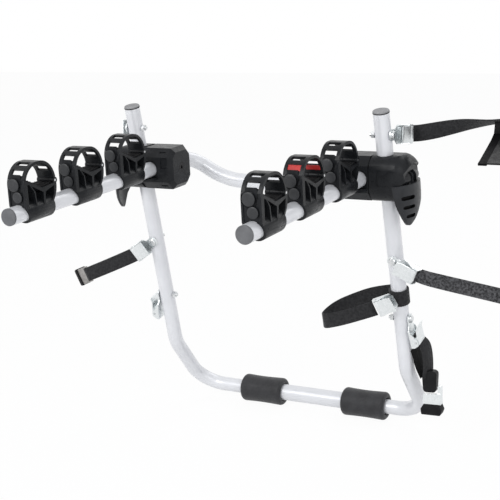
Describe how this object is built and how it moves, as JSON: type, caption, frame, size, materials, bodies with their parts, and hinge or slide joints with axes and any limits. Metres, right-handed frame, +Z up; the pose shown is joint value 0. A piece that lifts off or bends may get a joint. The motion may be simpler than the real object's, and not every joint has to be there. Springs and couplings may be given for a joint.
{
  "type": "trunk mounted bike rack",
  "caption": "Trunk mounted rack: two padded bent posts, a folding U arm with strap cradles, cam lever hubs and webbing straps with cam buckles and hooks.",
  "frame": {"origin": "middle of the hinge axis that both arms turn about, on the rack's centre plane", "axes": "+X across the car to the right seen from behind it, +Y towards the car, +Z up, arms level"},
  "size_m": [0.9098, 0.6359, 0.6324],
  "materials": {
    "silver_paint": "satin silver powder coat",
    "black_plastic": "satin moulded",
    "grey_cap": "matte",
    "rubber": "matte",
    "foam": "soft closed-cell foam",
    "zinc": "bright zinc plate",
    "steel": "zinc-plated",
    "coated_steel": "black dipped coat",
    "webbing": "woven polyester"
  },
  "bodies": {
    "support_frame": {"side_tube_left": "silver_paint", "side_tube_right": "silver_paint", "center_tube": "silver_paint", "foam_pad_left": "foam", "foam_pad_right": "foam", "post_caps": "grey_cap", "upright_housing_left": "black_plastic", "upright_housing_right": "black_plastic", "friction_discs": "black_plastic", "hook_rubbers": "rubber", "lever_pins": "steel", "strap_bolts": "steel", "strap_nuts": "steel", "buckle_pins": "steel", "buckle_frame_top_left": "zinc", "buckle_frame_top_right": "zinc", "buckle_frame_mid_left": "zinc", "buckle_frame_mid_right": "zinc", "buckle_frame_low_left": "zinc", "buckle_frame_low_right": "zinc", "buckle_frame_tie": "zinc", "hook_mid_left": "zinc", "hook_mid_right": "zinc", "hook_low_right": "zinc", "hook_top_right": "coated_steel", "pivot_bolts": "coated_steel", "strap_top_right": "webbing", "strap_mid_left": "webbing", "strap_mid_right": "webbing", "strap_low_right": "webbing", "tie_strap": "webbing", "tie_wrap": "webbing"},
    "bike_frame": {"arm_frame": "silver_paint", "arm_end_caps": "grey_cap", "arm_housing_left": "black_plastic", "arm_housing_right": "black_plastic", "cradle_liners": "rubber", "cradle_pins": "steel", "cradle_screws": "black_plastic", "cradle_body_left_1": "black_plastic", "cradle_body_left_2": "black_plastic", "cradle_body_left_3": "black_plastic", "cradle_body_right_1": "black_plastic", "cradle_body_right_2": "black_plastic", "cradle_body_right_3": "black_plastic"},
    "strap_left_1": {"cradle_strap_left_1": "black_plastic"},
    "strap_left_2": {"cradle_strap_left_2": "black_plastic"},
    "strap_left_3": {"cradle_strap_left_3": "black_plastic"},
    "strap_right_1": {"cradle_strap_right_1": "black_plastic"},
    "strap_right_2": {"cradle_strap_right_2": "black_plastic"},
    "strap_right_3": {"cradle_strap_right_3": "black_plastic"},
    "lever_left": {"cam_lever_left": "black_plastic"},
    "lever_right": {"cam_lever_right": "black_plastic"},
    "thumb_top_left": {"buckle_lever_top_left": "zinc"},
    "thumb_top_right": {"buckle_lever_top_right": "zinc"},
    "thumb_mid_left": {"buckle_lever_mid_left": "zinc"},
    "thumb_mid_right": {"buckle_lever_mid_right": "zinc"},
    "thumb_low_left": {"buckle_lever_low_left": "zinc"},
    "thumb_low_right": {"buckle_lever_low_right": "zinc"},
    "thumb_tie": {"buckle_lever_tie": "zinc"}
  },
  "joints": [
    {"name": "arms_fold", "type": "hinge", "parent": "support_frame", "child": "bike_frame", "pos_m": [0, 0, 0], "axis": [1, 0, 0], "range_deg": [-25, 80]},
    {"name": "cradle_strap_left_1_hinge", "type": "hinge", "parent": "bike_frame", "child": "strap_left_1", "pos_m": [-0.207, -0.33903, 0.03996], "axis": [-1, 0, 0], "range_deg": [0, 100]},
    {"name": "cradle_strap_left_2_hinge", "type": "hinge", "parent": "bike_frame", "child": "strap_left_2", "pos_m": [-0.207, -0.20603, 0.03996], "axis": [-1, 0, 0], "range_deg": [0, 100]},
    {"name": "cradle_strap_left_3_hinge", "type": "hinge", "parent": "bike_frame", "child": "strap_left_3", "pos_m": [-0.207, -0.07303, 0.03996], "axis": [-1, 0, 0], "range_deg": [0, 100]},
    {"name": "cradle_strap_right_1_hinge", "type": "hinge", "parent": "bike_frame", "child": "strap_right_1", "pos_m": [0.207, -0.33903, 0.03996], "axis": [-1, 0, 0], "range_deg": [0, 100]},
    {"name": "cradle_strap_right_2_hinge", "type": "hinge", "parent": "bike_frame", "child": "strap_right_2", "pos_m": [0.207, -0.20603, 0.03996], "axis": [-1, 0, 0], "range_deg": [0, 100]},
    {"name": "cradle_strap_right_3_hinge", "type": "hinge", "parent": "bike_frame", "child": "strap_right_3", "pos_m": [0.207, -0.07303, 0.03996], "axis": [-1, 0, 0], "range_deg": [0, 100]},
    {"name": "cam_lever_left_swing", "type": "hinge", "parent": "support_frame", "child": "lever_left", "pos_m": [-0.279, 0, 0], "axis": [0, 1, 0], "range_deg": [0, 95]},
    {"name": "cam_lever_right_swing", "type": "hinge", "parent": "support_frame", "child": "lever_right", "pos_m": [0.279, 0, 0], "axis": [0, -1, 0], "range_deg": [0, 95]},
    {"name": "buckle_top_left_cam", "type": "hinge", "parent": "support_frame", "child": "thumb_top_left", "pos_m": [-0.27614, 0.02354, 0.06922], "axis": [0, -0.1011, -0.9949], "range_deg": [0, 80], "stiffness_Nm_per_rad": 0.06, "springref_deg": -28.65},
    {"name": "buckle_top_right_cam", "type": "hinge", "parent": "support_frame", "child": "thumb_top_right", "pos_m": [0.27614, 0.02354, 0.06922], "axis": [0, 0.1011, 0.9949], "range_deg": [0, 80], "stiffness_Nm_per_rad": 0.06, "springref_deg": -28.65},
    {"name": "buckle_mid_left_cam", "type": "hinge", "parent": "support_frame", "child": "thumb_mid_left", "pos_m": [-0.27981, 0.01008, -0.176], "axis": [0.5446, 0.1629, -0.8227], "range_deg": [0, 80], "stiffness_Nm_per_rad": 0.06, "springref_deg": -28.65},
    {"name": "buckle_mid_right_cam", "type": "hinge", "parent": "support_frame", "child": "thumb_mid_right", "pos_m": [0.28198, 0.00935, -0.17231], "axis": [0.454, -0.1731, 0.874], "range_deg": [0, 80], "stiffness_Nm_per_rad": 0.06, "springref_deg": -28.65},
    {"name": "buckle_low_left_cam", "type": "hinge", "parent": "support_frame", "child": "thumb_low_left", "pos_m": [-0.27331, 0.06037, -0.3049], "axis": [0, -0.981, -0.1942], "range_deg": [0, 80], "stiffness_Nm_per_rad": 0.06, "springref_deg": -28.65},
    {"name": "buckle_low_right_cam", "type": "hinge", "parent": "support_frame", "child": "thumb_low_right", "pos_m": [0.27331, 0.06037, -0.3049], "axis": [0, 0.981, 0.1942], "range_deg": [0, 80], "stiffness_Nm_per_rad": 0.06, "springref_deg": -28.65},
    {"name": "buckle_tie_cam", "type": "hinge", "parent": "support_frame", "child": "thumb_tie", "pos_m": [0.21805, 0.01857, -0.23894], "axis": [0.4067, 0.1774, -0.8961], "range_deg": [0, 80], "stiffness_Nm_per_rad": 0.06, "springref_deg": -28.65}
  ]
}
